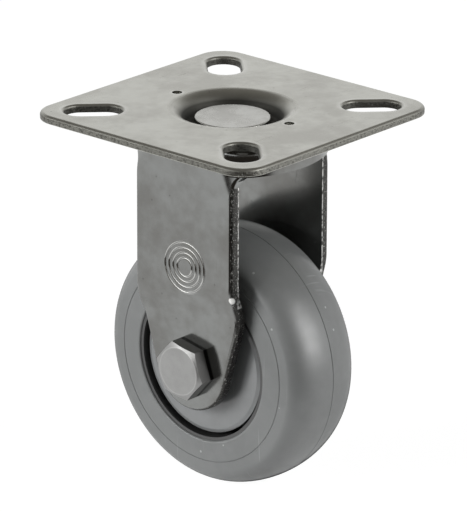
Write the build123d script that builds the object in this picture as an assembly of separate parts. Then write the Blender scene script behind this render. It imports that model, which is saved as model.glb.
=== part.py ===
from build123d import *
import math
import os

# Fixed plate castor. Millimetres, +Z up, origin at the centre of the top plate's upper face.
# +X is the rolling direction and Y is the axle. The bolt head is on the near side, at -Y.

# Top plate
plate_side = 53.5
plate_thickness = 1.5
plate_corner_radius = 5.5
plate_top_roll = 0.7
plate_bottom_roll = 0.3
slot_edge_distance = 8.55
slot_length = 10.8
slot_width = 6.3
slot_lip_roll = 0.6
dimple_offset = 13.8
dimple_radius = 0.95
dimple_depth = 0.9

# Round dish pressed into the plate, and into the fork's crown below it
dish_corner_radius_place = 10.2
dish_depth = 3.4
dish_wall_angle = 62.0
dish_lip_bend = 3.5
dish_floor_bend = 1.0
dish_least_bend = 0.3
dish_reach = 12.9
nest_clearance = 0.06

# Rivet
rivet_head_radius = 7.1
rivet_head_height = 1.8
rivet_head_round = 0.25
rivet_shank_radius = 3.0
rivet_tail_radius = 5.5
rivet_tail_height = 1.6
rivet_tail_round = 0.7
rivet_clearance = 0.05

# Fork, one pressed sheet
sheet = 2.0
nose_overhang = 5.5
crown_rim_z = -7.7
crown_shoulder = 2.4
crown_inner_shoulder = 0.5
crown_corner_bend = 7.0
corner_run_out_z = -15.2
inner_run_out_z = -10.2
run_out_extra = 1.3
run_out_bend = 0.3
run_out_inner_bend = 0.1
leg_outer_y = 13.7
leg_half_width = 11.9
leg_step = 1.8
leg_step_middle_z = -35.0
leg_step_length = 5.2
leg_step_slant = 9.5
leg_step_bend = 6.0
leg_taper_z = -37.8
leg_taper_round = 9.0
leg_end_radius = 8.6
skirt_corner_round = 2.0
leg_edge_roll = 0.8
mark_x = 0.45
mark_z = -27.5
mark_radii = (4.8, 3.8, 2.8, 1.8)
mark_line_round = 0.32
mark_line_depth = 0.2

# Axle
axle_z = -47.8
bolt_radius = 2.95
bolt_tip_radius = 2.05
bolt_past_nut = 1.5
bolt_hole_radius = 3.1
head_across_flats = 10.0
head_height = 3.2
head_face_radius = 4.6
head_turn = -11.0
nut_height = 6.0
nut_hex_height = 4.4
nut_collar_radius = 4.4
nut_collar_root = 0.5
nut_chamfer_angle = 30.0
insert_radius = 4.0
insert_height = 1.3
insert_lip = 0.3
insert_lead = 0.1
sleeve_radius = 4.0
seat_clearance = 0.02

# Ball bearings
bearing_bore_radius = 4.0
bearing_outer_radius = 8.0
bearing_width = 5.0
bearing_face_y = 6.2
ball_radius = 1.2
ball_count = 9
ball_running_gap = 0.04
inner_race_radius = 5.0
outer_race_bore = 7.0
cage_thickness = 0.9
cage_pocket_gap = 0.06
cage_width = 3.2
shield_thickness = 0.3
shield_gap = 0.2
spacer_radius = 5.0

# Wheel
wheel_radius = 25.0
tread_bulge = 3.9
tread_half_width = 8.62
tyre_side_height = 9.8
tyre_lip_y = 8.95
tyre_lip_round = 0.4
moulding_line_depth = 5.64
moulding_line_width = 0.22
tyre_thickness = 5.4
centre_rim_half_width = 7.5
centre_rim_thickness = 5.1
hub_draft = 0.5
centre_lip_wall = 0.6
centre_lip_y = 8.6
web_half_thickness = 1.6
hub_radius = 10.4
hub_half_length = 6.3
hub_shoulder_bore = 6.6
rib_count = 8
rib_thickness = 1.4
rib_half_height = 4.9
bond_gap = 0.02

# Thread guards
guard_gap = 1.35
guard_face_y = 7.94
guard_thickness = 1.2
guard_rim_depth = 2.3
guard_rim_wall = 1.0
guard_bevel = 0.7
guard_bevel_height = 0.3
guard_boss_radius = 7.4
guard_boss_draft = 0.4

# Working allowances
near_enough = 0.01
mostly = 0.9
cutter_spare = 1.0

# Places worked out from the sizes above
slot_offset = plate_side / 2 - slot_edge_distance
crown_nose = leg_half_width + nose_overhang
tread_shoulder_radius = wheel_radius - tread_bulge
tyre_lip_radius = wheel_radius - tyre_side_height
moulding_line_radius = wheel_radius - moulding_line_depth
centre_rim_radius = wheel_radius - tyre_thickness
centre_rim_root = centre_rim_radius - centre_rim_thickness
guard_radius = tyre_lip_radius - guard_gap
leg_inner_y = leg_outer_y - sheet
foot_outer_y = leg_outer_y - leg_step
foot_inner_y = foot_outer_y - sheet
bolt_length = 2 * foot_outer_y + nut_height + bolt_past_nut
ball_circle = (inner_race_radius + outer_race_bore) / 2
axle = Location((0, 0, axle_z), (90, 0, 0))


def turned(outline):
    """A solid of revolution about Z from a closed outline of (radius, height) points."""
    return revolve(Plane.XZ * make_face(Polyline(*outline, close=True)), Axis.Z)


def ring(inner, outer, low, high):
    """A plain tube about Z."""
    return turned([(inner, low), (outer, low), (outer, high), (inner, high)])


def on_axle(solid):
    """Lay a solid that was turned about Z on the axle, with its top towards the near side."""
    return axle * solid


def to_far_side(piece):
    """The same piece, or group of pieces, on the far leg's side of the wheel."""
    twins = [mirror(solid, about=Plane.XZ) for solid in piece.solids()]
    return Compound(twins) if len(twins) > 1 else twins[0]


def dish_line(depth_below, outer, inner, clearance=0.0):
    """The dish's line at a distance below the plate's upper face, from outer radius to inner."""
    half = math.radians(dish_wall_angle / 2)
    shift = depth_below * math.tan(half) + clearance / math.sin(2 * half)
    floor_run = dish_depth / math.tan(2 * half)
    lip = (dish_corner_radius_place + shift, -depth_below)
    floor_z = -dish_depth - depth_below - clearance
    floor = (lip[0] - floor_run, floor_z)
    lip_bend = max(dish_lip_bend - depth_below, dish_least_bend) + clearance
    floor_bend = dish_floor_bend + depth_below - clearance
    return FilletPolyline(
        (outer, -depth_below), lip, floor, (inner, floor_z), radius=(lip_bend, floor_bend)
    )


def dished_ring(top, bottom, outer, inner, clearance=0.0):
    """The part of a sheet that carries the dish, between two depths below the plate's face."""
    upper = dish_line(top, outer, inner, clearance)
    lower = dish_line(bottom, outer, inner, clearance)
    ends = [Line(upper @ 0, lower @ 0), Line(upper @ 1, lower @ 1)]
    return revolve(Plane.XZ * make_face([upper, lower] + ends), Axis.Z)


def make_top_plate():
    sheet_face = RectangleRounded(plate_side, plate_side, plate_corner_radius)
    plate = extrude(sheet_face, -plate_thickness)
    plate = fillet(plate.faces().sort_by(Axis.Z)[-1].edges(), plate_top_roll)
    plate = fillet(plate.faces().sort_by(Axis.Z)[0].edges(), plate_bottom_roll)
    slot = extrude(SlotOverall(slot_length, slot_width), -3 * plate_thickness, both=True)
    for x in (-1, 1):
        for y in (-1, 1):
            plate -= Pos(x * slot_offset, y * slot_offset) * Rot(0, 0, 45 * x * y) * slot
    lips = [wire for wire in plate.faces().sort_by(Axis.Z)[-1].inner_wires()]
    plate = fillet([edge for wire in lips for edge in wire.edges()], slot_lip_roll)
    plate -= Cylinder(dish_reach, 4 * plate_thickness)
    hole = rivet_shank_radius + rivet_clearance
    plate += dished_ring(0, plate_thickness, dish_reach, hole)
    for x in (-dimple_offset, dimple_offset):
        plug = Cylinder(dimple_radius, plate_thickness, align=(Align.CENTER, Align.CENTER, Align.MAX))
        plate -= Pos(x, 0, 0) * plug
        plate += Pos(x, 0, -dimple_depth) * plug
    return plate


def crown_outline(inset, corner, bend):
    """The fork's outline seen from above: two flats for the legs and two bowed ends."""
    bow = crown_nose - corner
    bow_radius = (bow**2 + leg_outer_y**2) / (2 * bow)
    half = leg_outer_y - inset
    nose = crown_nose - inset
    reach = (bow_radius - inset) ** 2 - half**2
    corner_x = crown_nose - bow_radius + math.sqrt(reach)
    sides = [
        ThreePointArc((corner_x, -half), (nose, 0), (corner_x, half)),
        Line((corner_x, half), (-corner_x, half)),
        ThreePointArc((-corner_x, half), (-nose, 0), (-corner_x, -half)),
        Line((-corner_x, -half), (corner_x, -half)),
    ]
    outline = make_face(sides)
    return fillet(outline.vertices(), bend)


def make_crown():
    """The drawn head of the fork, down to where its corners have run out into flat legs."""
    run_out_x = leg_half_width + run_out_extra
    top = -plate_thickness
    upper = crown_outline(0, leg_half_width, crown_corner_bend)
    lower = crown_outline(0, run_out_x, run_out_bend)
    inner_upper = crown_outline(sheet, leg_half_width, crown_corner_bend - sheet)
    inner_lower = crown_outline(sheet, run_out_x, run_out_inner_bend)
    pan = extrude(Pos(0, 0, crown_rim_z) * upper, top - crown_rim_z)
    pan = fillet(pan.faces().sort_by(Axis.Z)[-1].edges(), crown_shoulder)
    room = extrude(Pos(0, 0, crown_rim_z) * inner_upper, top - sheet - crown_rim_z)
    room = fillet(room.faces().sort_by(Axis.Z)[-1].edges(), crown_inner_shoulder)
    skirt = loft([Pos(0, 0, corner_run_out_z) * lower, Pos(0, 0, crown_rim_z) * upper], ruled=True)
    skirt_room = loft(
        [Pos(0, 0, inner_run_out_z) * inner_lower, Pos(0, 0, crown_rim_z) * inner_upper], ruled=True
    )
    leg_room = extrude(Pos(0, 0, corner_run_out_z) * inner_lower, inner_run_out_z - corner_run_out_z)
    return (pan - room) + (skirt - skirt_room - leg_room)


def make_leg():
    """The near leg's sheet, with its slanted step, before its outline is cut."""
    half_step = leg_step_length / 2
    turn = math.atan2(leg_step, leg_step_length)
    rise = sheet * math.tan(turn / 2)
    reach = 1.5 * leg_half_width
    slant = math.tan(math.radians(leg_step_slant))
    start_z = corner_run_out_z + reach * slant
    upper_z = leg_step_middle_z + half_step
    lower_z = leg_step_middle_z - half_step
    end_z = axle_z - 3 * leg_end_radius
    outer = FilletPolyline(
        (-leg_outer_y, start_z),
        (-leg_outer_y, upper_z),
        (-foot_outer_y, lower_z),
        (-foot_outer_y, end_z),
        radius=(leg_step_bend + sheet, leg_step_bend),
    )
    inner = FilletPolyline(
        (-leg_inner_y, start_z),
        (-leg_inner_y, upper_z - rise),
        (-foot_inner_y, lower_z - rise),
        (-foot_inner_y, end_z),
        radius=(leg_step_bend, leg_step_bend + sheet),
    )
    ends = [Line(outer @ 0, inner @ 0), Line(outer @ 1, inner @ 1)]
    section = Plane.YZ * make_face([outer, inner] + ends)
    along = Vector(1, 0, slant)
    start = Pos(-reach, 0, -reach * slant) * section
    strip = extrude(start, 2 * reach * along.length, dir=along)
    above = Pos(0, -leg_outer_y, corner_run_out_z) * Box(
        4 * reach, 4 * sheet, 4 * reach, align=(Align.CENTER, Align.CENTER, Align.MIN)
    )
    return strip - above


def fork_side_outline():
    """The fork's outline seen along the axle."""
    crown = Pos(0, crown_rim_z / 2) * Rectangle(3 * crown_nose, -crown_rim_z)
    leg = Pos(0, leg_taper_z / 2) * Rectangle(2 * leg_half_width, -leg_taper_z)
    end = Pos(0, axle_z) * Circle(leg_end_radius)
    shoulder = Line((-leg_half_width, leg_taper_z), (leg_half_width, leg_taper_z))
    taper = make_hull([shoulder] + list(end.edges()))
    outline = crown + leg + taper
    rim_corners = [
        v for v in outline.vertices()
        if abs(abs(v.X) - leg_half_width) < near_enough and abs(v.Y - crown_rim_z) < near_enough
    ]
    outline = fillet(rim_corners, skirt_corner_round)
    taper_corners = [
        v for v in outline.vertices()
        if abs(abs(v.X) - leg_half_width) < near_enough and abs(v.Y - leg_taper_z) < near_enough
    ]
    return fillet(taper_corners, leg_taper_round)


def leg_face_y(x, z):
    """How far out the leg's outer face lies at a place on it, along its slanted step."""
    slant = math.tan(math.radians(leg_step_slant))
    start_z = leg_step_middle_z + leg_step_length / 2 + x * slant
    share = min(max((start_z - z) / leg_step_length, 0), 1)
    return leg_outer_y - leg_step * share


def rolled_edges(fork):
    """The edges that the blanking punch rolled over, down and round each leg's outer face."""
    rolled = []
    for edge in fork.edges():
        middle = edge.position_at(0.5)
        is_fold = abs(edge.tangent_at(0.5).X) > mostly and middle.Z > axle_z
        on_side = abs(abs(middle.X) - leg_half_width) < near_enough
        on_edge = (on_side or middle.Z < leg_step_middle_z) and not is_fold
        on_face = abs(middle.Y) > leg_face_y(middle.X, middle.Z) - sheet / 2
        if middle.Z < crown_rim_z - skirt_corner_round and on_edge and on_face:
            rolled.append(edge)
    return rolled


def make_fork():
    near_leg = make_leg()
    blank = make_crown() + near_leg + to_far_side(near_leg)
    cut = extrude(Plane.XZ * fork_side_outline(), 2 * leg_outer_y, both=True)
    fork = blank & cut
    fork = fillet(rolled_edges(fork), leg_edge_roll)
    fork -= Cylinder(dish_reach, 2 * (plate_thickness + sheet + near_enough))
    hole = rivet_shank_radius + rivet_clearance
    fork += dished_ring(
        plate_thickness, plate_thickness + sheet, dish_reach, hole, nest_clearance
    )
    fork -= on_axle(Cylinder(bolt_hole_radius, 3 * leg_outer_y))
    for x in (-dimple_offset, dimple_offset):
        fork -= Pos(x, 0, -plate_thickness) * Cylinder(dimple_radius + rivet_clearance, 3 * sheet)
    line_y = leg_outer_y + mark_line_round - mark_line_depth
    for radius in mark_radii:
        groove = Rot(90, 0, 0) * Torus(radius, mark_line_round)
        fork -= Pos(mark_x, -line_y, mark_z) * groove
    return fork


def make_head_rivet():
    """The rivet as it sits after closing: a flat head in the dish and a closed tail below."""
    floor_z = -dish_depth
    under_z = -(dish_depth + plate_thickness + nest_clearance + sheet)
    head = Pos(0, 0, floor_z) * Cylinder(
        rivet_head_radius, rivet_head_height, align=(Align.CENTER, Align.CENTER, Align.MIN)
    )
    head = fillet(head.edges().sort_by(Axis.Z)[-1], rivet_head_round)
    tail = Pos(0, 0, under_z) * Cylinder(
        rivet_tail_radius, rivet_tail_height, align=(Align.CENTER, Align.CENTER, Align.MAX)
    )
    tail = fillet(tail.edges().sort_by(Axis.Z)[0], rivet_tail_round)
    shank = Pos(0, 0, under_z) * Cylinder(
        rivet_shank_radius, floor_z - under_z, align=(Align.CENTER, Align.CENTER, Align.MIN)
    )
    return head + shank + tail


def hexagon_blank(height):
    """A hexagon bar end, with its corners turned off to a cone at the outer face."""
    corner = head_across_flats / math.sqrt(3)
    flat = head_across_flats / 2
    drop = (corner - flat) * math.tan(math.radians(nut_chamfer_angle))
    bar = extrude(RegularPolygon(corner, 6), height)
    cone = turned(
        [(0, 0), (corner, 0), (corner, height - drop), (head_face_radius, height), (0, height)]
    )
    return bar & cone


def make_axle_bolt():
    head = Rot(0, 0, head_turn) * hexagon_blank(head_height)
    end = bolt_length - (bolt_radius - bolt_tip_radius)
    shank = turned(
        [(0, 0), (bolt_radius, 0), (bolt_radius, -end), (bolt_tip_radius, -bolt_length), (0, -bolt_length)]
    )
    return on_axle(Pos(0, 0, foot_outer_y) * (head + shank))


def make_lock_nut():
    """The self-locking nut on the far side: a hexagon with a round collar over its insert."""
    body = hexagon_blank(nut_hex_height)
    collar = ring(0, nut_collar_radius, nut_hex_height - nut_collar_root, nut_height)
    collar = fillet(collar.edges().sort_by(Axis.Z)[-1], insert_lip)
    nut = body + collar
    past = nut_height + cutter_spare
    insert_top = nut_height - insert_lip
    nut -= ring(0, bolt_radius + seat_clearance, -cutter_spare, past)
    nut -= ring(0, insert_radius, insert_top - insert_height, insert_top)
    nut -= ring(0, insert_radius - insert_lip, insert_top - insert_lead, past)
    return to_far_side(on_axle(Pos(0, 0, foot_outer_y) * nut))


def make_nut_insert():
    low = nut_height - insert_lip - insert_height
    body = ring(bolt_radius + seat_clearance, insert_radius - seat_clearance, low, low + insert_height)
    return to_far_side(on_axle(Pos(0, 0, foot_outer_y) * body))


def make_axle_sleeve():
    return on_axle(ring(bolt_hole_radius, sleeve_radius - seat_clearance, -foot_inner_y, foot_inner_y))


def make_bearing_spacer():
    half = bearing_face_y - bearing_width
    return on_axle(ring(sleeve_radius, spacer_radius, -half, half))


def at_bearing(solid):
    """Put a ring that was made about its own middle at the near bearing's place."""
    return on_axle(Pos(0, 0, bearing_face_y - bearing_width / 2) * solid)


def make_inner_race():
    half = bearing_width / 2
    race = ring(bearing_bore_radius, inner_race_radius, -half, half)
    return at_bearing(race - Torus(ball_circle, ball_radius + ball_running_gap))


def make_outer_race():
    half = bearing_width / 2
    race = ring(outer_race_bore, bearing_outer_radius - seat_clearance, -half, half)
    return at_bearing(race - Torus(ball_circle, ball_radius + ball_running_gap))


def ball_places():
    return [Rot(0, 0, 360 * i / ball_count) * Pos(ball_circle, 0, 0) for i in range(ball_count)]


def make_balls():
    return at_bearing(Compound([place * Sphere(ball_radius) for place in ball_places()]))


def make_cage():
    inner = ball_circle - cage_thickness / 2
    outer = ball_circle + cage_thickness / 2
    cage = ring(inner, outer, -cage_width / 2, cage_width / 2)
    for place in ball_places():
        cage -= place * Rot(0, 90, 0) * Cylinder(ball_radius + cage_pocket_gap, 2 * ball_radius)
    return at_bearing(cage)


def make_shield():
    top = bearing_width / 2
    inner = inner_race_radius + shield_gap
    outer = outer_race_bore - seat_clearance
    return at_bearing(ring(inner, outer, top - shield_thickness, top))


def make_thread_guard():
    """The near cover disc, held still by its boss between the leg and the inner race."""
    back = guard_face_y - guard_thickness
    rim_back = guard_face_y - guard_rim_depth
    face_radius = guard_radius - guard_bevel
    outline = [
        (sleeve_radius, bearing_face_y),
        (inner_race_radius, bearing_face_y),
        (inner_race_radius + guard_boss_draft, back),
        (guard_radius - guard_rim_wall, back),
        (guard_radius - guard_rim_wall, rim_back),
        (guard_radius, rim_back),
        (guard_radius, guard_face_y - guard_bevel_height),
        (face_radius, guard_face_y),
        (guard_boss_radius, guard_face_y),
        (guard_boss_radius - guard_boss_draft, foot_inner_y),
        (sleeve_radius, foot_inner_y),
    ]
    return on_axle(turned(outline))


def make_wheel_centre():
    """Hub, web, ribs and rim, moulded in one."""
    web = web_half_thickness
    seat = bearing_outer_radius
    shoulder_y = bearing_face_y - bearing_width
    lip_outer = tyre_lip_radius - bond_gap
    upper = [
        (hub_shoulder_bore, 0),
        (hub_shoulder_bore, shoulder_y),
        (seat, shoulder_y),
        (seat, hub_half_length),
        (hub_radius, hub_half_length),
        (hub_radius + hub_draft, web),
        (centre_rim_root, web),
        (lip_outer - centre_lip_wall, centre_lip_y),
        (lip_outer, centre_lip_y),
        (lip_outer, centre_rim_half_width),
        (centre_rim_radius, centre_rim_half_width),
    ]
    lower = [(r, -z) for r, z in reversed(upper[1:])]
    centre = turned(upper + lower)
    rib_length = centre_rim_root - hub_radius + hub_draft
    rib = Pos(hub_radius, 0, 0) * Box(
        rib_length, rib_thickness, 2 * rib_half_height, align=(Align.MIN, Align.CENTER, Align.CENTER)
    )
    for i in range(rib_count):
        centre += Rot(0, 0, 360 * i / rib_count) * rib
    return on_axle(centre)


def line_groove(radius, height, width):
    """A fine turned line, cut as a small square ring set corner to the surface."""
    half = width / 2
    return turned([
        (radius - half, height),
        (radius, height - half),
        (radius + half, height),
        (radius, height + half),
    ])


def make_tyre():
    side = tread_half_width
    tread = EllipticalCenterArc(
        (tread_shoulder_radius, 0), wheel_radius - tread_shoulder_radius, side, start_angle=-90, arc_size=180
    )
    bore = centre_rim_radius + bond_gap
    seat = centre_rim_half_width + bond_gap
    inside = Polyline(
        (tread_shoulder_radius, side),
        (tyre_lip_radius, tyre_lip_y),
        (tyre_lip_radius, seat),
        (bore, seat),
        (bore, -seat),
        (tyre_lip_radius, -seat),
        (tyre_lip_radius, -tyre_lip_y),
        (tread_shoulder_radius, -side),
    )
    section = make_face([tread, inside])
    lips = [v for v in section.vertices() if abs(abs(v.Y) - tyre_lip_y) < near_enough]
    section = fillet(lips, tyre_lip_round)
    tyre = revolve(Plane.XZ * section, Axis.Z)
    slope = (tyre_lip_y - side) / (tread_shoulder_radius - tyre_lip_radius)
    line_y = side + slope * (tread_shoulder_radius - moulding_line_radius)
    tyre -= line_groove(wheel_radius, 0, moulding_line_width)
    for height in (line_y, -line_y):
        tyre -= line_groove(moulding_line_radius, height, moulding_line_width)
    return on_axle(tyre)


def both_sides(name, near):
    return {f"near_{name}": near, f"far_{name}": to_far_side(near)}


pieces = {
    "top_plate": make_top_plate(),
    "fork": make_fork(),
    "head_rivet": make_head_rivet(),
    "axle_bolt": make_axle_bolt(),
    "lock_nut": make_lock_nut(),
    "nut_insert": make_nut_insert(),
    "axle_sleeve": make_axle_sleeve(),
    "bearing_spacer": make_bearing_spacer(),
    **both_sides("thread_guard", make_thread_guard()),
    **both_sides("inner_race", make_inner_race()),
    **both_sides("outer_race", make_outer_race()),
    **both_sides("bearing_balls", make_balls()),
    **both_sides("bearing_cage", make_cage()),
    **both_sides("bearing_shield", make_shield()),
    "wheel_centre": make_wheel_centre(),
    "tyre": make_tyre(),
}

os.makedirs("parts", exist_ok=True)
for name, piece in pieces.items():
    export_step(piece, f"parts/{name}.step")
    print(name, piece.is_valid, round(piece.volume, 1), len(piece.solids()), len(piece.faces()))
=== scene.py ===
# %% [markdown]
# # A fixed plate castor in bright zinc
# The castor is already built as a measured model: every piece has its real size and place, in metres,
# with the plate's upper face at the origin, +X the way the wheel rolls and the axle along Y.
# This lesson gives it its looks. It sets up a camera and plain studio light, makes a few shader
# groups that several finishes share, then works through the castor piece by piece.

# %% Load the measured model
import bpy
import math
from mathutils import Matrix, Vector


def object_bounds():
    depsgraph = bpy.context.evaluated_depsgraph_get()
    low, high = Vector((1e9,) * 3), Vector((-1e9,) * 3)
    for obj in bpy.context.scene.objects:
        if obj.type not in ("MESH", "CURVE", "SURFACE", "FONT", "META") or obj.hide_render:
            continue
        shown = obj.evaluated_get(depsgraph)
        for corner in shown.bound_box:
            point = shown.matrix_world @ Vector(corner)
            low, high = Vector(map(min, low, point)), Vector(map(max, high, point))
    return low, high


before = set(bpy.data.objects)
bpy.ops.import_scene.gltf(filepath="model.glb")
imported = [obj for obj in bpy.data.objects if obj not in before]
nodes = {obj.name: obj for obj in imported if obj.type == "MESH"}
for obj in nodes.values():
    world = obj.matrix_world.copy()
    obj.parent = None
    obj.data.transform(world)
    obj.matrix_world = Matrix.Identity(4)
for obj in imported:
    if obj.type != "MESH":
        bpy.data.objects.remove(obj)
cad_low, cad_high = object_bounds()
print("pieces loaded:", len(nodes), "box in mm:", [round(1000 * v, 1) for v in cad_high - cad_low])

# %% [markdown]
# ## Camera
# The picture was taken with a long lens from the right of the near leg and a little above the plate.
# A camera was fitted to the plate's corners, the slots and the wheel's rim, which gave the two angles,
# the distance and the focal length below. Blender wants a camera as a place and three directions, so the
# cell builds those directions from the angles. That is easier to trust than turning the camera by hand.

# %% Place the camera
camera_azimuth = math.radians(41.36)
camera_elevation = math.radians(19.75)
camera_roll = math.radians(0.21)
camera_distance = 0.93971
focal_pixels = 5095.96
picture_long_side = 512
picture_middle = (233.53, 256.01)
plate_centre = (232.73, 107.66)
sensor_mm = 36.0


def camera_directions():
    """Right, up and back of the camera, with its small roll."""
    flat = math.cos(camera_elevation)
    back = Vector((
        math.sin(camera_azimuth) * flat,
        -math.cos(camera_azimuth) * flat,
        math.sin(camera_elevation),
    ))
    right = Vector((math.cos(camera_azimuth), math.sin(camera_azimuth), 0))
    up = back.cross(right)
    turned_right = math.cos(camera_roll) * right + math.sin(camera_roll) * up
    turned_up = math.cos(camera_roll) * up - math.sin(camera_roll) * right
    return turned_right, turned_up, back


right, up, back = camera_directions()
plate_aside = (plate_centre[0] - picture_middle[0]) / focal_pixels
plate_below = (plate_centre[1] - picture_middle[1]) / focal_pixels
eye = -(-back + right * plate_aside - up * plate_below) * camera_distance
camera_data = bpy.data.cameras.new("picture_camera")
camera_data.sensor_width = sensor_mm
camera_data.lens = focal_pixels * sensor_mm / picture_long_side
camera_data.clip_end = 20
camera = bpy.data.objects.new("picture_camera", camera_data)
camera.matrix_world = Matrix((
    (right.x, up.x, back.x, eye.x),
    (right.y, up.y, back.y, eye.y),
    (right.z, up.z, back.z, eye.z),
    (0, 0, 0, 1),
))
bpy.context.scene.collection.objects.link(camera)
bpy.context.scene.camera = camera
bpy.context.scene.view_settings.view_transform = "Standard"
print("camera lens in mm:", round(camera_data.lens, 1))

# %% [markdown]
# ## Helpers for node trees
# Materials and shader groups are both node trees. A few short helpers keep the later cells readable:
# they add a node, join an output to an input, and open a group with named sockets. A sum or a product in
# a node tree takes one Math node for each pair of values, so small functions chain those nodes.

# %% Nodes and groups
def add_node(tree, kind, **settings):
    """A new node, with its settings and the values of its input sockets."""
    node = tree.nodes.new(kind)
    for key, value in settings.items():
        if key in node.inputs:
            node.inputs[key].default_value = value
        else:
            setattr(node, key, value)
    return node


def join(tree, output, target):
    """Link an output socket to an input socket."""
    tree.links.new(output, target)


def new_group(name, inputs, outputs):
    """A shader group with named inputs (kind, start value) and outputs (kind)."""
    tree = bpy.data.node_groups.new(name, "ShaderNodeTree")
    for label, (kind, value) in inputs.items():
        socket = tree.interface.new_socket(label, in_out="INPUT", socket_type=f"NodeSocket{kind}")
        socket.default_value = value
    for label, kind in outputs.items():
        tree.interface.new_socket(label, in_out="OUTPUT", socket_type=f"NodeSocket{kind}")
    return tree, tree.nodes.new("NodeGroupInput"), tree.nodes.new("NodeGroupOutput")


print("node helpers ready")

# %% Numbers
def math_node(tree, operation, *operands):
    """A Math node; each operand is an output socket or a number."""
    node = add_node(tree, "ShaderNodeMath", operation=operation)
    for socket, value in zip(node.inputs, operands):
        if isinstance(value, (int, float)):
            socket.default_value = value
        else:
            join(tree, value, socket)
    return node.outputs[0]


def chain(tree, operation, values):
    """One value after another taken into a result, with a Math node for each."""
    result = values[0]
    for value in values[1:]:
        result = math_node(tree, operation, result, value)
    return result


def times(tree, *factors):
    return chain(tree, "MULTIPLY", factors)


def plus(tree, *terms):
    return chain(tree, "ADD", terms)


def largest(tree, *values):
    return chain(tree, "MAXIMUM", values)


def ramp(tree, value, low, high, steep="LINEAR"):
    """The value spread from 0 at low to 1 at high; low may be the larger of the two."""
    node = add_node(tree, "ShaderNodeMapRange", interpolation_type=steep)
    node.inputs["From Min"].default_value = low
    node.inputs["From Max"].default_value = high
    join(tree, value, node.inputs["Value"])
    return node.outputs["Result"]


print("number helpers ready")

# %% Places, distances and colours
def object_place(tree):
    """Where a point lies in the castor's own frame, in metres. It moves with the piece."""
    return add_node(tree, "ShaderNodeTexCoord").outputs["Object"]


def distance(tree, place, point=(0, 0, 0)):
    """How far a place lies from a point, in metres."""
    node = add_node(tree, "ShaderNodeVectorMath", operation="DISTANCE")
    join(tree, place, node.inputs[0])
    node.inputs[1].default_value = point
    return node.outputs["Value"]


def flat_distance(tree, first, second):
    """The distance in a plane, from the two steps along it."""
    squares = plus(tree, times(tree, first, first), times(tree, second, second))
    return math_node(tree, "SQRT", squares)


def noise(tree, place, scale, detail=2.0, roughness=0.5):
    """Noise from 0 to 1; scale is the number of its waves per metre, a number or an output socket."""
    node = add_node(tree, "ShaderNodeTexNoise", Detail=detail, Roughness=roughness)
    if isinstance(scale, (int, float)):
        node.inputs["Scale"].default_value = scale
    else:
        join(tree, scale, node.inputs["Scale"])
    join(tree, place, node.inputs["Vector"])
    return node.outputs["Fac"]


def blend_colours(tree, share, first, second):
    """Two colours mixed by a share; each is an output socket or a value."""
    node = add_node(tree, "ShaderNodeMix", data_type="RGBA")
    for label, value in (("Factor_Float", share), ("A_Color", first), ("B_Color", second)):
        socket = next(s for s in node.inputs if s.identifier == label)
        if isinstance(value, (int, float, tuple)):
            socket.default_value = value
        else:
            join(tree, value, socket)
    return next(s for s in node.outputs if s.identifier == "Result_Color")


def layer_colours(tree, colour, layers):
    """Colours laid over each other, each with its share."""
    for share, upper in layers:
        colour = blend_colours(tree, share, colour, (*upper, 1))
    return colour


print("place and colour helpers ready")

# %% [markdown]
# ## The tent's opening
# The real picture was taken on white paper with a white back and sides, and a dimmer room above and where
# the photographer stands. The white gives the even greys on the flat faces. The dim parts draw the shape:
# every roll, edge and bend that turns towards them goes darker, and so does the middle of the tread.
# A plain white world would be simpler, but bright zinc shows little else than what it mirrors, and its
# form would be lost. One group says where the tent is open, and the world and the floor share it.

# %% Group: the tent's dark opening
opening_soft_edge = 7.0
ceiling_starts = 0.40
ceiling_ends = 0.64


def make_opening_group():
    """1 inside the opening and above the tent's walls, 0 on the tent, for a direction from the castor.
    Widths are in degrees, and the ceiling's two heights are a direction's upward share."""
    tree, start, end = new_group(
        "dark_opening",
        {"Direction": ("Vector", (0, 0, 0)), "Middle": ("Float", 50.0), "Half Width": ("Float", 30.0)},
        {"Mask": "Float"},
    )
    parts = add_node(tree, "ShaderNodeSeparateXYZ")
    unit = add_node(tree, "ShaderNodeVectorMath", operation="NORMALIZE")
    join(tree, start.outputs["Direction"], unit.inputs[0])
    join(tree, unit.outputs[0], parts.inputs[0])
    turn = math_node(tree, "ARCTAN2", parts.outputs["X"], times(tree, parts.outputs["Y"], -1.0))
    degrees = times(tree, turn, 180 / math.pi)
    apart = math_node(tree, "ABSOLUTE", math_node(tree, "SUBTRACT", degrees, start.outputs["Middle"]))
    across = add_node(tree, "ShaderNodeMapRange", interpolation_type="SMOOTHSTEP")
    join(tree, apart, across.inputs["Value"])
    join(tree, plus(tree, start.outputs["Half Width"], opening_soft_edge), across.inputs["From Min"])
    inner = math_node(tree, "SUBTRACT", start.outputs["Half Width"], opening_soft_edge)
    join(tree, inner, across.inputs["From Max"])
    ceiling = ramp(tree, parts.outputs["Z"], ceiling_starts, ceiling_ends, "SMOOTHSTEP")
    join(tree, largest(tree, across.outputs["Result"], ceiling), end.inputs["Mask"])
    return tree


opening_group = make_opening_group()
print("group:", opening_group.name)

# %% What the rays see
white = (1, 1, 1, 1)


def rays_that_see_white(tree):
    """1 for the camera's own rays, and 1 for all that show the background, also in metal and glass."""
    path = add_node(tree, "ShaderNodeLightPath")
    camera_ray = path.outputs["Is Camera Ray"]
    mirrored = largest(tree, path.outputs["Is Glossy Ray"], path.outputs["Is Transmission Ray"])
    return camera_ray, largest(tree, camera_ray, mirrored)


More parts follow.
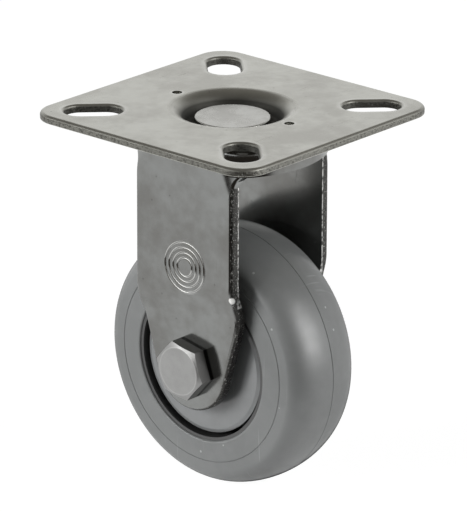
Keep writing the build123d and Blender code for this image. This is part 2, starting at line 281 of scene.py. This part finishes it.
def white_share(tree, camera_ray, direction, middle, half_width):
    """How white a direction is: 1 for the camera and on the tent, 0 in the opening."""
    opening = add_node(tree, "ShaderNodeGroup", node_tree=opening_group)
    join(tree, direction, opening.inputs["Direction"])
    opening.inputs["Middle"].default_value = middle
    opening.inputs["Half Width"].default_value = half_width
    tent = math_node(tree, "SUBTRACT", 1.0, opening.outputs["Mask"])
    return largest(tree, tent, camera_ray)


def towards(azimuth, elevation):
    """A direction from the castor. Azimuth 0 faces the near leg and turns towards +X."""
    turn = math.radians(azimuth)
    rise = math.radians(elevation)
    flat = math.cos(rise)
    return Vector((math.sin(turn) * flat, -math.cos(turn) * flat, math.sin(rise)))


print("straight ahead of the near leg:", [round(v, 2) for v in towards(0, 0)])

# %% [markdown]
# ## Light
# Two soft lamps, one on each side of the opening, light the near leg and the tread. The left one stands
# behind the tent's cloth, so metal mirrors only a soft glow there, which the world adds. The world gives
# the rest: full white where it is seen or mirrored, and a faint fill on surfaces that scatter light. One
# strength for all rays would be simpler, but it would turn the background grey or light the tyre flatly.

# %% White surroundings
dim_room = (0.235, 0.225, 0.21, 1)
fill_level = 0.15
cloth_glow = 2.4
glow_core_degrees = 13
glow_edge_degrees = 21
left_lamp_place = (-29, 12)
right_lamp_place = (107, 16)


def make_surroundings():
    """A tent of white cloth, dim in the opening, with a soft glow where the left lamp stands."""
    world = bpy.data.worlds.new("white_tent")
    world.use_nodes = True
    tree = world.node_tree
    tree.nodes.clear()
    camera_ray, seen = rays_that_see_white(tree)
    direction = add_node(tree, "ShaderNodeTexCoord").outputs["Generated"]
    agreement = add_node(tree, "ShaderNodeVectorMath", operation="DOT_PRODUCT")
    join(tree, direction, agreement.inputs[0])
    agreement.inputs[1].default_value = towards(*left_lamp_place)
    edge = math.cos(math.radians(glow_edge_degrees))
    core = math.cos(math.radians(glow_core_degrees))
    glow = ramp(tree, agreement.outputs["Value"], edge, core)
    glow = times(tree, glow, math_node(tree, "SUBTRACT", 1.0, camera_ray), cloth_glow)
    strength = add_node(tree, "ShaderNodeMix", data_type="FLOAT")
    join(tree, seen, strength.inputs["Factor"])
    strength.inputs["A"].default_value = fill_level
    join(tree, plus(tree, glow, 1.0), strength.inputs["B"])
    share = white_share(tree, camera_ray, direction, middle=50.0, half_width=30.0)
    light = add_node(tree, "ShaderNodeBackground")
    join(tree, blend_colours(tree, share, dim_room, white), light.inputs["Color"])
    join(tree, strength.outputs["Result"], light.inputs["Strength"])
    end = add_node(tree, "ShaderNodeOutputWorld")
    join(tree, light.outputs["Background"], end.inputs["Surface"])
    bpy.context.scene.world = world
    return world


print("world:", make_surroundings().name)

# %% Soft lamps
castor_middle = Vector((0, 0, -0.035))


def add_soft_lamp(name, place, width, height, power):
    """A rectangular lamp one metre from the castor's middle, looking at it."""
    away = towards(*place)
    data = bpy.data.lights.new(name, "AREA")
    data.shape = "RECTANGLE"
    data.size = width
    data.size_y = height
    data.energy = power
    lamp = bpy.data.objects.new(name, data)
    lamp.location = castor_middle + away
    lamp.rotation_euler = away.to_track_quat("Z", "Y").to_euler()
    bpy.context.scene.collection.objects.link(lamp)
    return lamp


left_lamp = add_soft_lamp("left_lamp", left_lamp_place, 0.60, 0.60, 9.4)
left_lamp.visible_glossy = False
right_lamp = add_soft_lamp("right_lamp", right_lamp_place, 0.42, 0.85, 6.8)
print("lamps:", left_lamp.name, right_lamp.name)

# %% [markdown]
# ## Floor
# The paper is white where the camera or a mirror sees it, and keeps the castor's shadow. To surfaces that
# scatter light it is a plain pale grey, so that its glow doesn't light the castor's underside. In front,
# away from the castor, it ends in a dark table that only the mirrors in the metal show. A plain white
# plane would be simpler, but lamps as near as these light it unevenly.

# %% White floor that keeps the shadow
dark_table = (0.058, 0.050, 0.042, 1)
pale_paper = (0.62, 0.62, 0.62, 1)
paper_glow = 0.94
shadow_depth = 0.22
paper_surely_to = 0.095
paper_ends_at = 0.115
floor_half_side = 3.0
floor_gap = 0.0001


def floor_shader(tree):
    """Pale paper for scattered light; for the camera and in mirrors, white dimmed by the shadow."""
    camera_ray, seen = rays_that_see_white(tree)
    place = object_place(tree)
    close = ramp(tree, distance(tree, place), paper_ends_at, paper_surely_to)
    open_share = white_share(tree, camera_ray, place, middle=38.0, half_width=56.0)
    share = largest(tree, open_share, close)
    paper = add_node(tree, "ShaderNodeBsdfDiffuse", Color=pale_paper)
    shadowed = add_node(tree, "ShaderNodeBsdfDiffuse")
    join(tree, times(tree, share, shadow_depth), shadowed.inputs["Color"])
    glow = add_node(tree, "ShaderNodeEmission", Strength=paper_glow)
    join(tree, blend_colours(tree, share, dark_table, white), glow.inputs["Color"])
    bright = add_node(tree, "ShaderNodeAddShader")
    join(tree, shadowed.outputs[0], bright.inputs[0])
    join(tree, glow.outputs[0], bright.inputs[1])
    choose = add_node(tree, "ShaderNodeMixShader")
    join(tree, seen, choose.inputs[0])
    join(tree, paper.outputs[0], choose.inputs[1])
    join(tree, bright.outputs[0], choose.inputs[2])
    return choose.outputs[0]


def make_floor(top, half_side):
    """A square sheet of paper under the castor, with its own material."""
    mesh = bpy.data.meshes.new("floor")
    signs = ((-1, -1), (1, -1), (1, 1), (-1, 1))
    mesh.from_pydata([(x * half_side, y * half_side, top) for x, y in signs], [], [(0, 1, 2, 3)])
    floor = bpy.data.objects.new("floor", mesh)
    bpy.context.scene.collection.objects.link(floor)
    material = bpy.data.materials.new("floor_white")
    material.use_nodes = True
    tree = material.node_tree
    tree.nodes.clear()
    end = add_node(tree, "ShaderNodeOutputMaterial")
    join(tree, floor_shader(tree), end.inputs["Surface"])
    mesh.materials.append(material)
    return floor


floor_top = cad_low.z - floor_gap
floor = make_floor(floor_top, floor_half_side)
print("floor:", floor.name, "at mm:", round(1000 * floor_top, 2))

# %% [markdown]
# ## Shared effects: soft clouds
# Plated sheet is never one even grey, because zinc dries in soft clouds. One wide noise would do for
# them, but a second, finer one roughens their edges. Rubber and plastic have such clouds too, between
# two colours that lie closer together, so the effect is a group with its own inputs. Like all the groups
# here it gives only colours, masks and plain values, and the shader stays in the material.

# %% Group: soft clouds
def make_cloud_group():
    """Two colours in soft clouds. Size is the clouds' number per metre."""
    tree, start, end = new_group(
        "soft_clouds",
        {
            "Light": ("Color", (0.5, 0.5, 0.5, 1)),
            "Dark": ("Color", (0.3, 0.3, 0.3, 1)),
            "Size": ("Float", 90.0),
            "Spread": ("Float", 0.5),
        },
        {"Color": "Color", "Mask": "Float"},
    )
    place = object_place(tree)
    wide = noise(tree, place, start.outputs["Size"], detail=3.0, roughness=0.55)
    fine = noise(tree, place, times(tree, start.outputs["Size"], 6.0), detail=2.0, roughness=0.6)
    both = plus(tree, times(tree, wide, 0.75), times(tree, fine, 0.25))
    mask = ramp(tree, both, 0.36, 0.64, "SMOOTHSTEP")
    share = times(tree, mask, start.outputs["Spread"])
    colour = blend_colours(tree, share, start.outputs["Light"], start.outputs["Dark"])
    join(tree, colour, end.inputs["Color"])
    join(tree, mask, end.inputs["Mask"])
    return tree


cloud_group = make_cloud_group()
print("group:", cloud_group.name)

# %% [markdown]
# ## Shared effects: hair-fine scratches
# Rolling and handling leave hair-fine scratches. They could be cut into the mesh, but that takes many
# faces for lines too thin to have a shape. Noise that is squeezed forty times along one direction gives
# lines instead, and a second, wider noise breaks them into short ones.

# %% Group: hair-fine scratches
scratch_turns = ((0.5, 0.9, 0.4), (-0.7, 0.3, 1.1))
scratch_squeeze = (40.0, 1.0, 1.0)


def make_scratch_group():
    """Short thin scratches that lie in two slanting directions."""
    tree, start, end = new_group(
        "fine_scratches",
        {"Amount": ("Float", 0.5), "Length": ("Float", 60.0)},
        {"Mask": "Float", "Height": "Float"},
    )
    place = object_place(tree)
    masks = []
    for turn in scratch_turns:
        mapping = add_node(tree, "ShaderNodeMapping", Rotation=turn, Scale=scratch_squeeze)
        join(tree, place, mapping.inputs["Vector"])
        lines = noise(tree, mapping.outputs["Vector"], start.outputs["Length"], detail=1.0)
        broken = ramp(tree, noise(tree, place, 160.0, detail=1.0), 0.52, 0.62)
        masks.append(times(tree, ramp(tree, lines, 0.70, 0.76), broken))
    mask = times(tree, largest(tree, *masks), start.outputs["Amount"])
    join(tree, mask, end.inputs["Mask"])
    join(tree, times(tree, mask, -1.0), end.inputs["Height"])
    return tree


scratch_group = make_scratch_group()
print("group:", scratch_group.name)

# %% [markdown]
# ## Shared effects: pits and specks
# Small pits in the plating are dark, and dust on rubber is pale. Both are round dots, scattered without
# order. Noise cut off at a high level would give dots too, but of all sizes. Voronoi cells give one dot
# per cell, and each cell's random colour decides whether its dot stays, so the number of dots and the
# size of a dot can be set apart.

# %% Group: pits and specks
def make_speck_group():
    """Small scattered specks, dark or bright as the material uses them."""
    tree, start, end = new_group(
        "pits_and_specks",
        {"Number": ("Float", 900.0), "Share": ("Float", 0.25), "Width": ("Float", 0.22)},
        {"Mask": "Float", "Height": "Float"},
    )
    place = object_place(tree)
    cells = add_node(tree, "ShaderNodeTexVoronoi", feature="F1")
    join(tree, place, cells.inputs["Vector"])
    join(tree, start.outputs["Number"], cells.inputs["Scale"])
    near = math_node(tree, "LESS_THAN", cells.outputs["Distance"], start.outputs["Width"])
    split = add_node(tree, "ShaderNodeSeparateColor")
    join(tree, cells.outputs["Color"], split.inputs["Color"])
    chosen = math_node(tree, "LESS_THAN", split.outputs["Red"], start.outputs["Share"])
    mask = times(tree, near, chosen)
    join(tree, mask, end.inputs["Mask"])
    join(tree, times(tree, mask, -1.0), end.inputs["Height"])
    return tree


speck_group = make_speck_group()
print("group:", speck_group.name)

# %% [markdown]
# ## Zinc-plated pressed steel
# The plate and the fork are cold-rolled sheet, stamped and then zinc plated. The faces are a soft mirror
# with clouds. The cut edges are different: a punch tears the last part of the thickness, so they are
# darker and rougher, with bright torn specks. Masks pick such places out by where they lie and which way
# they face, so the finish needs no painting by hand and no texture images.

# %% Materials and what they read
def use_group(tree, group, **values):
    """A shader group placed in a tree, with its own values."""
    return add_node(tree, "ShaderNodeGroup", node_tree=group, **values)


def new_material(name, metallic, roughness, colour):
    """A material with plain values on the shader, its tree and its shader."""
    material = bpy.data.materials.new(name)
    material.use_nodes = True
    tree = material.node_tree
    shader = tree.nodes["Principled BSDF"]
    shader.inputs["Metallic"].default_value = metallic
    shader.inputs["Roughness"].default_value = roughness
    shader.inputs["Base Color"].default_value = (*colour, 1)
    material.diffuse_color = (*colour, 1)
    return material, tree, shader


def add_bump(tree, shader, height, depth):
    """Feed a height, in the group's units, to the shader's normal. Depth is in metres."""
    bump = add_node(tree, "ShaderNodeBump", Strength=1.0, Distance=depth)
    join(tree, height, bump.inputs["Height"])
    join(tree, bump.outputs["Normal"], shader.inputs["Normal"])


def surface_parts(tree):
    """The facing and the place of a surface point, each split in X, Y and Z."""
    geometry = add_node(tree, "ShaderNodeTexCoord")
    facing = add_node(tree, "ShaderNodeSeparateXYZ")
    place = add_node(tree, "ShaderNodeSeparateXYZ")
    join(tree, geometry.outputs["Normal"], facing.inputs[0])
    join(tree, geometry.outputs["Object"], place.inputs[0])
    return facing.outputs, place.outputs


print("material helpers ready")

# %% Zinc on sheet
torn_metal = (0.5, 0.5, 0.48)
# The pale zinc colour below goes on the bright spots, which include painted highlights.
highlight_and_rubbed_zinc = (0.80, 0.80, 0.78)
# The darkness below is used for pits and for painted shade.
pit_and_shade_darkness = 0.14
sheet_relief = 0.000012


def sheet_finish(name, light, dark, gloss_level, edge_dark, torn_share, masks):
    """Bright zinc on pressed sheet. masks(tree) gives the torn edges, the painted shade, the bright
    spots, painted highlights among them, and the haze, where a bend has stretched the plating dull."""
    material, tree, shader = new_material(name, 1.0, 0.3, light)
    clouds = use_group(tree, cloud_group, Light=(*light, 1), Dark=(*dark, 1), Size=70.0, Spread=0.8)
    scratches = use_group(tree, scratch_group, Amount=0.6, Length=55.0)
    specks = use_group(tree, speck_group, Number=900.0, Share=0.05, Width=0.16)
    place = object_place(tree)
    edge, painted_shade, highlight_and_rubbed_spot, haze = masks(tree)
    torn = times(tree, ramp(tree, noise(tree, place, 2700.0, roughness=0.7), 0.60, 0.66), edge)
    pocked = times(tree, ramp(tree, noise(tree, place, 1900.0, roughness=0.6), 0.50, 0.60), edge)
    worn = tuple(edge_dark * c for c in dark)
    # The darkest colour serves pits and painted shade in the dish, on the slot walls and on the rolled
    # edges.
    pit_and_shade_dark = tuple(pit_and_shade_darkness * c for c in dark)
    colour = layer_colours(tree, clouds.outputs["Color"], (
        (edge, worn),
        (times(tree, pocked, 0.6), pit_and_shade_dark),
        (times(tree, torn, torn_share), torn_metal),
        (times(tree, specks.outputs["Mask"], 0.35), pit_and_shade_dark),
        (painted_shade, pit_and_shade_dark),
        (highlight_and_rubbed_spot, highlight_and_rubbed_zinc),
    ))
    join(tree, colour, shader.inputs["Base Color"])
    gloss = math_node(tree, "MULTIPLY_ADD", clouds.outputs["Mask"], 0.06, gloss_level)
    for mask, rougher in ((edge, 0.16), (painted_shade, 0.30), (haze, 0.07), (scratches.outputs["Mask"], 0.12)):
        gloss = plus(tree, gloss, times(tree, mask, rougher))
    join(tree, gloss, shader.inputs["Roughness"])
    grain = times(tree, noise(tree, place, 2600.0, roughness=0.6), 0.3)
    pits = times(tree, specks.outputs["Height"], 0.8)
    height = plus(tree, grain, scratches.outputs["Height"], pits, times(tree, torn, 3.0))
    height = math_node(tree, "SUBTRACT", height, times(tree, pocked, 3.0))
    add_bump(tree, shader, height, sheet_relief)
    return material


def dress(name, material):
    """Give a measured piece its finish."""
    piece = nodes[name]
    piece.data.materials.clear()
    piece.data.materials.append(material)


print("sheet finish ready")

# %% [markdown]
# ## Top plate
# The plate has four diagonal slots, a round dish for the rivet and two small locating dimples. A painted
# highlight brightens its top round the slots and the dimples, and painted shade darkens the dish, the
# slot walls and the rolled edges. A painted image could mark these places, but distances stay sharp at
# any picture size. For the slots, a group folds the plate onto one corner and measures how far a point
# lies from a bar with round ends.

# %% Group: distance from the nearest slot
slot_middle = 0.02574
slot_straight = 0.00225
slot_end_radius = 0.00315


def make_slot_group():
    """How far a point lies outside the nearest slot's outline, in metres. The slots are diagonal."""
    tree, start, end = new_group(
        "slot_distance", {"Place": ("Vector", (0, 0, 0))}, {"Distance": "Float"}
    )
    parts = add_node(tree, "ShaderNodeSeparateXYZ")
    join(tree, start.outputs["Place"], parts.inputs[0])
    x = math_node(tree, "ABSOLUTE", parts.outputs["X"])
    y = math_node(tree, "ABSOLUTE", parts.outputs["Y"])
    outward = times(tree, plus(tree, x, y), math.sqrt(0.5))
    across = times(tree, math_node(tree, "SUBTRACT", x, y), math.sqrt(0.5))
    from_middle = math_node(tree, "ABSOLUTE", math_node(tree, "SUBTRACT", outward, slot_middle))
    past_end = largest(tree, math_node(tree, "SUBTRACT", from_middle, slot_straight), 0.0)
    length = flat_distance(tree, past_end, across)
    join(tree, math_node(tree, "SUBTRACT", length, slot_end_radius), end.inputs["Distance"])
    return tree


slot_group = make_slot_group()
print("group:", slot_group.name)

# %% Plate: edges, painted shade and painted highlights
dish_reach = 0.0165
# Between these heights the dish gets darker with depth as painted shade.
shade_in_dish_from_z = -0.0002
shade_in_dish_full_z = -0.0016
dimple_x = 0.0138
dimple_radius = 0.00095
slot_wall_reach = 0.0005


def plate_distances(tree, place):
    """How far a point lies from the nearest slot and from the nearest dimple."""
    to_slot = use_group(tree, slot_group)
    join(tree, object_place(tree), to_slot.inputs["Place"])
    across = math_node(tree, "SUBTRACT", math_node(tree, "ABSOLUTE", place["X"]), dimple_x)
    from_dimple = flat_distance(tree, across, place["Y"])
    return to_slot.outputs["Distance"], math_node(tree, "SUBTRACT", from_dimple, dimple_radius)


def plate_masks(tree):
    """The cut edge and slot walls face sideways. Painted shade darkens the dish, the slot walls and the
    rolled edges, and the bends are hazy. A painted highlight brightens the top round each slot and round
    the dimples, and steep walls near the middle get bright spots."""
    facing, place = surface_parts(tree)
    to_slot, to_dimple = plate_distances(tree, place)
    upward = math_node(tree, "ABSOLUTE", facing["Z"])
    top_side = math_node(tree, "GREATER_THAN", facing["Z"], 0.0)
    outside = math_node(tree, "GREATER_THAN", distance(tree, object_place(tree)), dish_reach)
    dish = math_node(tree, "SUBTRACT", 1.0, outside)
    edge = times(tree, ramp(tree, upward, 0.50, 0.25), outside)
    # Painted shade: the rolled edges, the dish and the slot walls are made darker in colour.
    rolling = times(tree, ramp(tree, upward, 0.97, 0.60), ramp(tree, upward, 0.08, 0.35))
    dish_shade = times(tree, dish, ramp(tree, place["Z"], shade_in_dish_from_z, shade_in_dish_full_z))
    painted_shade = largest(tree, times(tree, rolling, outside, 0.45), times(tree, dish_shade, 0.97))
    in_slot = math_node(tree, "LESS_THAN", to_slot, slot_wall_reach)
    painted_shade = largest(tree, times(tree, painted_shade, top_side), times(tree, edge, in_slot, 0.60))
    haze = times(tree, ramp(tree, upward, 0.9998, 0.985), top_side)
    # Painted highlight: a bright halo on the top round the slots and the dimples.
    halo_highlight = largest(tree, ramp(tree, to_slot, 0.0014, 0.0006), ramp(tree, to_dimple, 0.0006, 0.0002))
    flat = times(tree, ramp(tree, upward, 0.90, 0.99), top_side)
    wall = times(tree, ramp(tree, upward, 0.30, 0.10), dish)
    wall_spot = math_node(tree, "LESS_THAN", noise(tree, object_place(tree), 900.0), 0.47)
    highlight_and_rubbed_spot = largest(tree, times(tree, halo_highlight, flat, 0.20), times(tree, wall, wall_spot))
    return edge, painted_shade, highlight_and_rubbed_spot, haze


plate_zinc = sheet_finish(
    "plate_zinc",
    light=(0.44, 0.44, 0.40),
    dark=(0.35, 0.345, 0.31),
    gloss_level=0.20,
    edge_dark=0.55,
    torn_share=0.3,
    masks=plate_masks,
)
dress("top_plate", plate_zinc)
print("dressed: top_plate")

# %% [markdown]
# ## Fork
# The fork is pressed from one sheet too, of the same zinc as the plate. Its colours are darker than the
# plate's as painted shade, because its legs mirror a darker part of the room, so it has its own colours.
# Its cut edge is torn, with a bright broken burr along the inner corner, and a small round painted
# highlight sits on the step. The four pressed rings on the near leg are grooves in the model, and only
# their slopes get a painted highlight here. The burr could be modelled as well, but it is a thin line,
# and the highlight on the step is less than 2 mm across, so colour alone draws them.

# %% Fork: torn edge, burr, and painted highlights on the rings and the step
crown_rim_z = -0.0098
clear_of_rings_x = 0.007
foot_z = -0.040
burr_y = (0.01205, 0.01190)
burr_end_z = -0.0335
# A small round painted highlight on the step.
step_glint_place = (0.0117, -0.0134, -0.0317)
step_glint_radii = (0.00085, 0.00065)
rings_x = 0.00045
rings_z = -0.0275
rings_reach = 0.0053


def fork_edge(tree, outward, place):
    """The cut edge with its roll, below the crown's rim and clear of the pressed rings."""
    below = math_node(tree, "LESS_THAN", place["Z"], crown_rim_z)
    aside = math_node(tree, "ABSOLUTE", place["X"])
    beside = math_node(tree, "GREATER_THAN", aside, clear_of_rings_x)
    foot = math_node(tree, "LESS_THAN", place["Z"], foot_z)
    around = times(tree, largest(tree, beside, foot), below)
    return times(tree, ramp(tree, outward, 0.95, 0.80), around)


def fork_masks(tree):
    """The torn edge, the bright burr, and painted highlights on the step and the rings' slopes. The fork
    has no painted shade and no haze.
    """
    facing, place = surface_parts(tree)
    outward = math_node(tree, "ABSOLUTE", facing["Y"])
    edge = fork_edge(tree, outward, place)
    inner_corner = ramp(tree, math_node(tree, "ABSOLUTE", place["Y"]), *burr_y)
    above = math_node(tree, "GREATER_THAN", place["Z"], burr_end_z)
    broken = ramp(tree, noise(tree, object_place(tree), 1100.0), 0.42, 0.55)
    burr = times(tree, inner_corner, edge, above, broken)
    step_glint = ramp(tree, distance(tree, object_place(tree), step_glint_place), *step_glint_radii)
    across = math_node(tree, "SUBTRACT", place["X"], rings_x)
    along = math_node(tree, "SUBTRACT", place["Z"], rings_z)
    pressed = math_node(tree, "LESS_THAN", flat_distance(tree, across, along), rings_reach)
    # Painted highlight on the slopes of the pressed rings.
    ring_slope_highlight = times(tree, ramp(tree, outward, 0.985, 0.93), pressed)
    highlight_and_rubbed_spot = largest(tree, times(tree, burr, 0.6), step_glint, times(tree, ring_slope_highlight, 0.45))
    return edge, 0.0, highlight_and_rubbed_spot, 0.0


# The fork's colours are the plate's zinc made darker as painted shade.
fork_zinc_shaded = sheet_finish(
    "fork_zinc_shaded",
    light=(0.25, 0.256, 0.25),
    dark=(0.165, 0.162, 0.153),
    gloss_level=0.14,
    edge_dark=0.32,
    torn_share=0.7,
    masks=fork_masks,
)
dress("fork", fork_zinc_shaded)
print("dressed: fork")

# %% [markdown]
# ## Formed and turned steel
# Rivet, bolt and nut are cold formed from wire, so their faces are smoother than sheet but carry the
# tool's marks. Tubes, races and balls are turned or ground. Each could have a material made on its own,
# but they share the same clouds, grain and scratches and differ in colour and smoothness. So one finish
# with a few values serves them all.

# %% Plain steel
def steel_finish(name, light, dark, roughness, size=260.0, depth=0.00001, details=None):
    """Plain steel. details(tree, colour) may add to the colour, the roughness and the height."""
    material, tree, shader = new_material(name, 1.0, roughness, light)
    clouds = use_group(tree, cloud_group, Light=(*light, 1), Dark=(*dark, 1), Size=size, Spread=0.6)
    scratches = use_group(tree, scratch_group, Amount=0.5, Length=110.0)
    colour = clouds.outputs["Color"]
    gloss = math_node(tree, "MULTIPLY_ADD", clouds.outputs["Mask"], 0.08, roughness - 0.04)
    grain = noise(tree, object_place(tree), 3200.0, roughness=0.6)
    height = plus(tree, times(tree, grain, 0.5), scratches.outputs["Height"])
    if details:
        colour, more_gloss, more_height = details(tree, colour)
        gloss = plus(tree, gloss, more_gloss)
        height = plus(tree, height, more_height)
    join(tree, colour, shader.inputs["Base Color"])
    join(tree, gloss, shader.inputs["Roughness"])
    add_bump(tree, shader, height, depth)
    return material


rivet_steel = steel_finish("rivet_steel", (0.45, 0.45, 0.425), (0.41, 0.405, 0.38), 0.26, 160.0, 0.000006)
tube_steel = steel_finish("tube_steel", (0.45, 0.45, 0.44), (0.36, 0.36, 0.35), 0.30)
race_steel = steel_finish("race_steel", (0.60, 0.60, 0.59), (0.50, 0.50, 0.49), 0.18)
ball_steel = steel_finish("ball_steel", (0.74, 0.74, 0.74), (0.66, 0.66, 0.66), 0.08, 300.0, 0.000002)
cage_steel = steel_finish("cage_steel", (0.52, 0.52, 0.51), (0.42, 0.42, 0.41), 0.28)
dress("head_rivet", rivet_steel)
dress("axle_sleeve", tube_steel)
dress("bearing_spacer", tube_steel)
for side in ("near", "far"):
    dress(f"{side}_inner_race", race_steel)
    dress(f"{side}_outer_race", race_steel)
    dress(f"{side}_bearing_balls", ball_steel)
    dress(f"{side}_bearing_cage", cage_steel)
    dress(f"{side}_bearing_shield", cage_steel)
print("dressed: rivet, tubes and bearings")

# %% [markdown]
# ## Bolt and nut
# The flats and the chamfer of the bolt's head carry painted shade, a painted highlight draws a bright
# circle between face and chamfer, and a painted shadow darkens the gap under the head. Beyond the nut the
# bolt is threaded. A cut thread would add many thin faces to a tip that is 1.5 mm long, so a bump draws
# it: the place along the axle plus the turn around it gives a height that winds like a screw.

# %% Bolt details
axle_z = -0.0478
face_circle_radius = 0.00455
circle_fade = (0.00018, 0.00006)
# The band at the head's base within these distances gets a painted shadow.
shadow_under_head_y = (0.01250, 0.01225)
thread_radius = 0.0031
thread_pitch = 0.001
thread_height = 40.0
# Painted shade for the flats and the chamfer, a painted highlight circle, and a painted shadow under the
# head.
flat_painted_shade = (0.012, 0.011, 0.010)
chamfer_painted_shade = (0.03, 0.03, 0.03)
circle_painted_highlight = (0.60, 0.60, 0.59)
gap_painted_shadow = (0.014, 0.014, 0.013)


def thread_ridges(tree, place, down, radius, flats):
    """A height that winds round the bolt's end, one ridge for each pitch."""
    turn = math_node(tree, "ARCTAN2", place["X"], down)
    turns = times(tree, turn, 0.5 / math.pi)
    pitches = plus(tree, times(tree, place["Y"], 1 / thread_pitch), turns)
    ridge = math_node(tree, "PINGPONG", pitches, 0.5)
    on_thread = times(tree, math_node(tree, "LESS_THAN", radius, thread_radius), flats)
    return times(tree, ridge, on_thread, thread_height)


def bolt_details(tree, colour):
    """The flats and chamfer of a bolt head carry painted shade, a painted highlight draws a bright circle
    between face and chamfer, and a painted shadow darkens the gap under the head. The end beyond the nut
    is threaded."""
    facing, place = surface_parts(tree)
    along = math_node(tree, "ABSOLUTE", facing["Y"])
    flats = ramp(tree, along, 0.60, 0.40)
    chamfer = times(tree, ramp(tree, along, 0.985, 0.95), ramp(tree, along, 0.40, 0.60))
    down = math_node(tree, "SUBTRACT", place["Z"], axle_z)
    radius = flat_distance(tree, down, place["X"])
    off_circle = math_node(tree, "ABSOLUTE", math_node(tree, "SUBTRACT", radius, face_circle_radius))
    near_side = math_node(tree, "LESS_THAN", facing["Y"], -0.6)
    head_shadow = ramp(tree, math_node(tree, "ABSOLUTE", place["Y"]), *shadow_under_head_y)
    # Painted shade, painted highlight and painted shadow laid over the steel.
    colour = layer_colours(tree, colour, (
        (times(tree, flats, 0.42), flat_painted_shade),
        (times(tree, chamfer, 0.10), chamfer_painted_shade),
        (times(tree, ramp(tree, off_circle, *circle_fade), 0.28, near_side), circle_painted_highlight),
        (times(tree, head_shadow, flats), gap_painted_shadow),
    ))
    return colour, times(tree, flats, 0.12), thread_ridges(tree, place, down, radius, flats)


bolt_steel = steel_finish(
    "bolt_steel", (0.345, 0.345, 0.34), (0.30, 0.30, 0.295), 0.36, 420.0, 0.000012, bolt_details
)
dress("axle_bolt", bolt_steel)
dress("lock_nut", bolt_steel)
print("dressed: axle_bolt, lock_nut")

# %% [markdown]
# ## Plastics and rubber
# The wheel centre is black polypropylene, the cover discs are smooth grey plastic, and the tyre is a grey
# thermoplastic rubber with a satin skin. Rubber like this is dull but not flat: its roughness varies in
# soft patches, and rolling leaves fine scuffs. A shader's shine grows on the slant, which would draw a
# pale rim round the tyre. The fine grain of a moulded skin hides its own mirror there, so the shine falls
# off.

# %% Plastic and rubber finishes
shine_gone_at = 0.86
shine_full_at = 0.42


def moulded_finish(name, light, dark, roughness, shine, size, scuff, flecks, depth):
    """Plastic or rubber; scuff is the amount of fine scratches and flecks the share of pale dust."""
    material, tree, shader = new_material(name, 0.0, roughness, light)
    clouds = use_group(tree, cloud_group, Light=(*light, 1), Dark=(*dark, 1), Size=size, Spread=0.8)
    scuffs = use_group(tree, scratch_group, Amount=scuff, Length=45.0)
    dust = use_group(tree, speck_group, Number=520.0, Share=flecks, Width=0.12)
    pale = tuple(min(1.0, 2.2 * c) for c in light)
    scuff_share = times(tree, scuffs.outputs["Mask"], 0.4)
    share = largest(tree, scuff_share, times(tree, dust.outputs["Mask"], 0.8))
    colour = blend_colours(tree, share, clouds.outputs["Color"], (*pale, 1))
    join(tree, colour, shader.inputs["Base Color"])
    gloss = math_node(tree, "MULTIPLY_ADD", clouds.outputs["Mask"], 0.10, roughness - 0.05)
    join(tree, gloss, shader.inputs["Roughness"])
    slanting = add_node(tree, "ShaderNodeLayerWeight", Blend=0.5)
    kept = ramp(tree, slanting.outputs["Facing"], shine_gone_at, shine_full_at)
    shader.inputs["Specular IOR Level"].default_value = shine
    join(tree, times(tree, kept, shine), shader.inputs["Specular IOR Level"])
    grain = noise(tree, object_place(tree), 3800.0, detail=3.0, roughness=0.6)
    add_bump(tree, shader, plus(tree, grain, scuffs.outputs["Height"]), depth)
    return material


tyre_rubber = moulded_finish(
    "tyre_rubber", (0.210, 0.217, 0.216), (0.175, 0.181, 0.180), 0.37, 0.80, 70.0, 0.6, 0.05, 0.000008
)
guard_plastic = moulded_finish(
    "guard_plastic", (0.235, 0.243, 0.245), (0.205, 0.212, 0.214), 0.22, 0.9, 90.0, 0.4, 0.02, 0.000003
)
centre_plastic = moulded_finish(
    "centre_plastic", (0.04, 0.04, 0.04), (0.028, 0.028, 0.028), 0.36, 0.9, 90.0, 0.4, 0.03, 0.00001
)
insert_nylon = moulded_finish(
    "insert_nylon", (0.62, 0.65, 0.68), (0.56, 0.58, 0.61), 0.35, 0.5, 200.0, 0.1, 0.0, 0.000004
)
dress("tyre", tyre_rubber)
dress("near_thread_guard", guard_plastic)
dress("far_thread_guard", guard_plastic)
dress("wheel_centre", centre_plastic)
dress("nut_insert", insert_nylon)
print("dressed: tyre, thread guards, wheel centre and insert")
